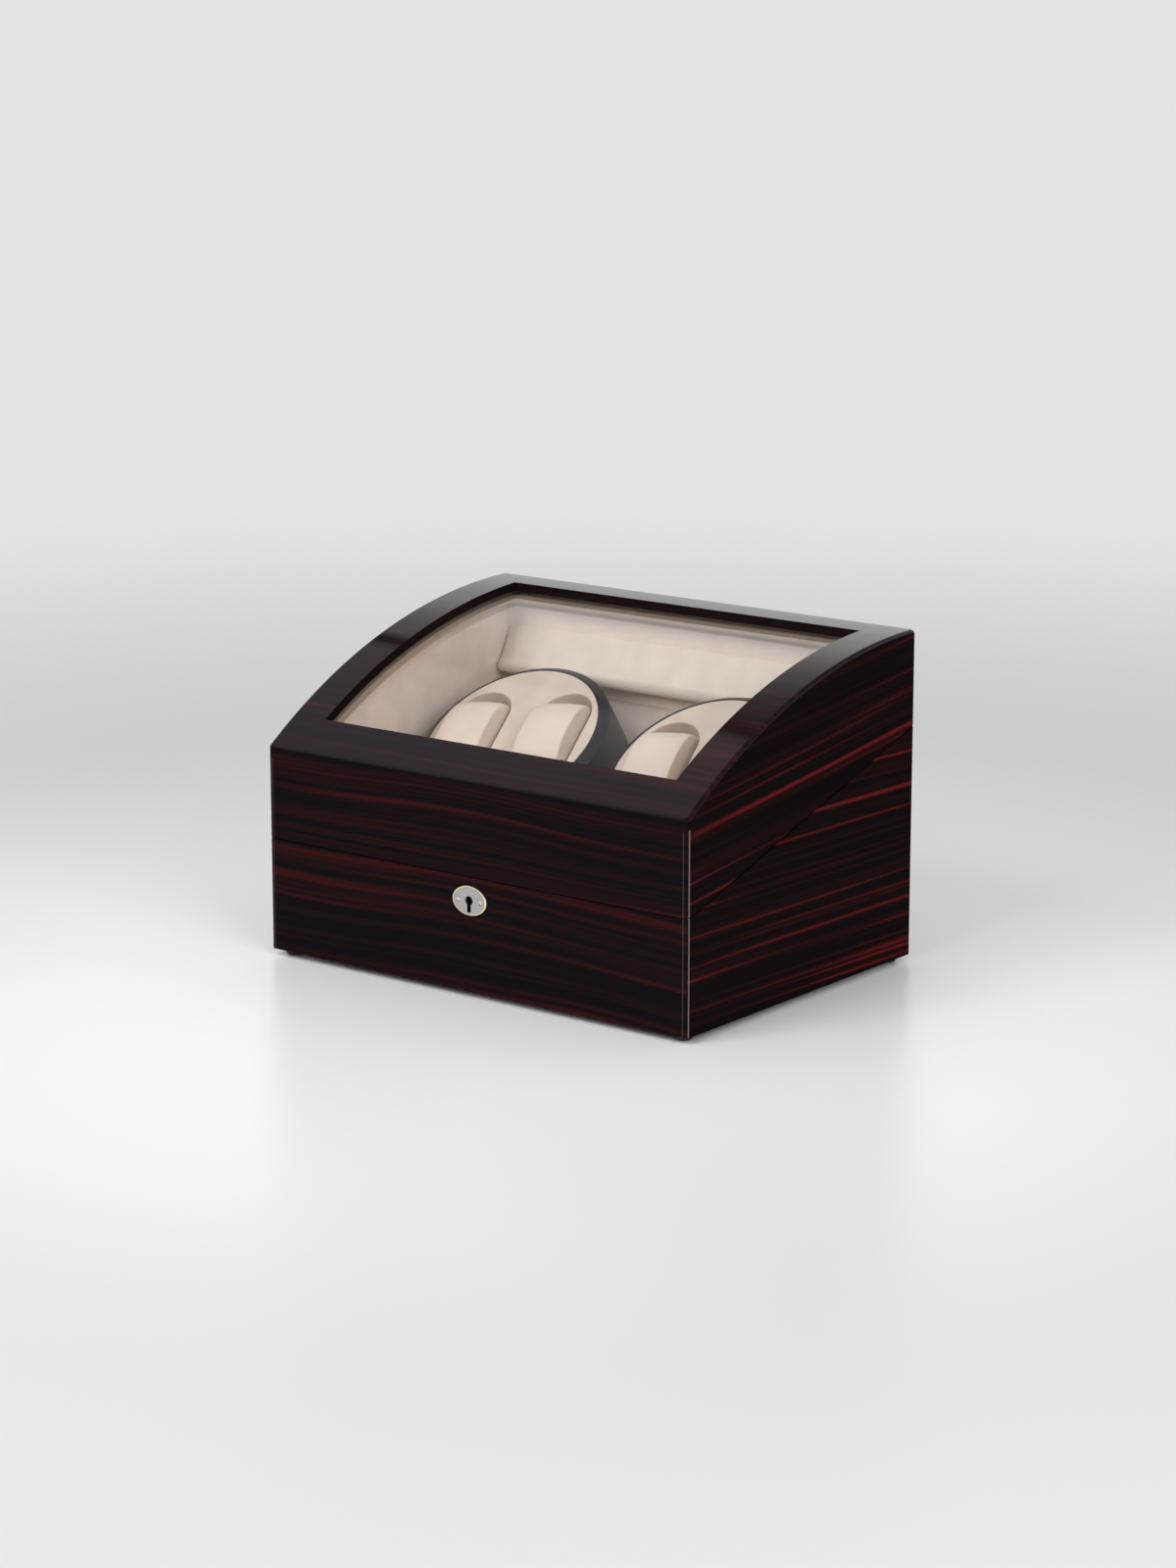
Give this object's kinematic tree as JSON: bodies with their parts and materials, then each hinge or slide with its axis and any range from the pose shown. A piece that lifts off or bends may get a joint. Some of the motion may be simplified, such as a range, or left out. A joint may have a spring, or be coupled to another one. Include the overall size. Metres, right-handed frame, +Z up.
{
  "type": "watch winder box",
  "caption": "Lacquered wooden watch winder box with an arched glazed lid over tilted, belt-driven turntables with cushions, a keyed front lock and rear hinges.",
  "frame": {"origin": "centre of the footprint at the underside of the feet", "axes": "+X to the right seen from the front, +Y to the back, +Z up"},
  "size_m": [0.34, 0.256, 0.2203],
  "materials": {
    "veneer": "dark striped veneer under high-gloss lacquer",
    "floor_board": "matt black paint",
    "suede_board": "beige suede cloth over board",
    "suede": "beige suede cloth",
    "face_cover": "beige suede cloth over moulding",
    "pane": "clear, polished",
    "drum_plastic": "satin charcoal",
    "black_plastic": "satin black",
    "nickel": "satin nickel plate",
    "steel": "bright zinc plate",
    "bronze": "sintered bronze",
    "rubber": "matt black",
    "circuit": "green solder mask"
  },
  "bodies": {
    "base": {"base_front": "veneer", "base_back": "veneer", "base_left": "veneer", "base_right": "veneer", "base_floor": "floor_board", "deck": "suede_board", "deck_riser": "suede_board", "base_lining": "suede", "storage_cushion_1": "suede", "storage_cushion_2": "suede", "storage_cushion_3": "suede", "storage_cushion_4": "suede", "storage_cushion_5": "suede", "storage_cushion_6": "suede", "mode_switches": "black_plastic", "power_socket": "black_plastic", "lock_plate": "nickel", "lock_plate_screws": "nickel", "hinge_base_leaves": "nickel", "hinge_pins": "nickel", "hinge_base_screws": "nickel", "motor_left": "steel", "motor_right": "steel", "motor_brackets": "steel", "lock_body": "steel", "spindle_bushes": "bronze", "feet": "rubber", "drive_belt_left": "rubber", "drive_belt_right": "rubber", "circuit_board": "circuit"},
    "lid": {"lid_front": "veneer", "lid_back": "veneer", "lid_left": "veneer", "lid_right": "veneer", "lid_top_frame": "veneer", "window_pane": "pane", "window_retainer": "suede_board", "lid_lining": "suede", "lid_back_pad": "suede", "strike_plate": "nickel", "hinge_lid_leaves": "nickel", "hinge_lid_screws": "nickel"},
    "turntable_left": {"turntable_drum_left": "drum_plastic", "turntable_face_left": "face_cover", "cushion_left_a": "suede", "cushion_left_b": "suede", "spindle_left": "steel", "drive_pulley_left": "black_plastic"},
    "motor_drive_left": {"motor_pulley_left": "black_plastic"},
    "turntable_right": {"turntable_drum_right": "drum_plastic", "turntable_face_right": "face_cover", "cushion_right_a": "suede", "cushion_right_b": "suede", "spindle_right": "steel", "drive_pulley_right": "black_plastic"},
    "motor_drive_right": {"motor_pulley_right": "black_plastic"},
    "bolt": {"lock_bolt": "steel"},
    "knob_left": {"mode_knob_left": "black_plastic"},
    "knob_right": {"mode_knob_right": "black_plastic"}
  },
  "joints": [
    {"name": "lid_hinge", "type": "hinge", "parent": "base", "child": "lid", "pos_m": [0, 0.12215, 0.15863], "axis": [-1, 0, 0], "range_deg": [0, 95]},
    {"name": "turntable_left_spin", "type": "hinge", "parent": "base", "child": "turntable_left", "pos_m": [-0.078, 0.01035, 0.13493], "axis": [0, -0.5736, 0.8192], "continuous": true},
    {"name": "turntable_right_spin", "type": "hinge", "parent": "base", "child": "turntable_right", "pos_m": [0.078, 0.01035, 0.13493], "axis": [0, -0.5736, 0.8192], "continuous": true},
    {"name": "motor_left_spin", "type": "hinge", "parent": "base", "child": "motor_drive_left", "pos_m": [-0.033, 0.01035, 0.13493], "axis": [0, -0.5736, 0.8192], "continuous": true},
    {"name": "motor_right_spin", "type": "hinge", "parent": "base", "child": "motor_drive_right", "pos_m": [0.033, 0.01035, 0.13493], "axis": [0, -0.5736, 0.8192], "continuous": true},
    {"name": "lock_bolt_slide", "type": "slide", "parent": "base", "child": "bolt", "axis": [0, 0, 1], "range_m": [0, 0.006]},
    {"name": "mode_knob_left_turn", "type": "hinge", "parent": "base", "child": "knob_left", "pos_m": [-0.03, 0.11955, 0.0845], "axis": [0, 1, 0], "range_deg": [0, 90]},
    {"name": "mode_knob_right_turn", "type": "hinge", "parent": "base", "child": "knob_right", "pos_m": [0.03, 0.11955, 0.0845], "axis": [0, 1, 0], "range_deg": [0, 90]}
  ],
  "couplings": [
    {"joint": "motor_left_spin", "follows": "turntable_left_spin", "ratio": 2.5},
    {"joint": "motor_right_spin", "follows": "turntable_right_spin", "ratio": 2.5}
  ]
}
